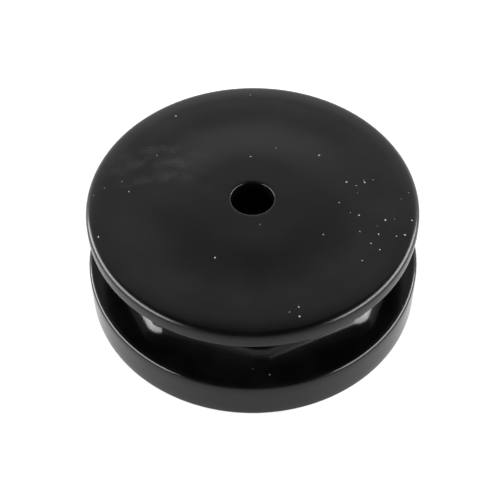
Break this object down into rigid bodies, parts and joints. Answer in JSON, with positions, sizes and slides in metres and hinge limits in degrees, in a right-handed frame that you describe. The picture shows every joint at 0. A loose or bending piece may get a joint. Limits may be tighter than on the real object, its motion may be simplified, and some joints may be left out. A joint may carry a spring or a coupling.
{
  "type": "grooved rope sheave",
  "caption": "Black moulded rope sheave with a thick and a thin flange, an octagonal waist in the rope groove and a plain axle bore.",
  "frame": {"origin": "centre of the bottom face, on the axle's axis", "axes": "+Z runs along the axle from the thick flange to the thin one; X and Y are each square to a flat of the waist"},
  "size_m": [0.0508, 0.0508, 0.0191],
  "materials": {
    "lower_half_plastic": "semi-gloss black moulded plastic, fine mould texture",
    "upper_flange_plastic": "semi-gloss black moulded plastic, handled and lightly scuffed"
  },
  "bodies": {
    "sheave": {"lower_half": "lower_half_plastic", "upper_flange": "upper_flange_plastic"}
  },
  "joints": []
}
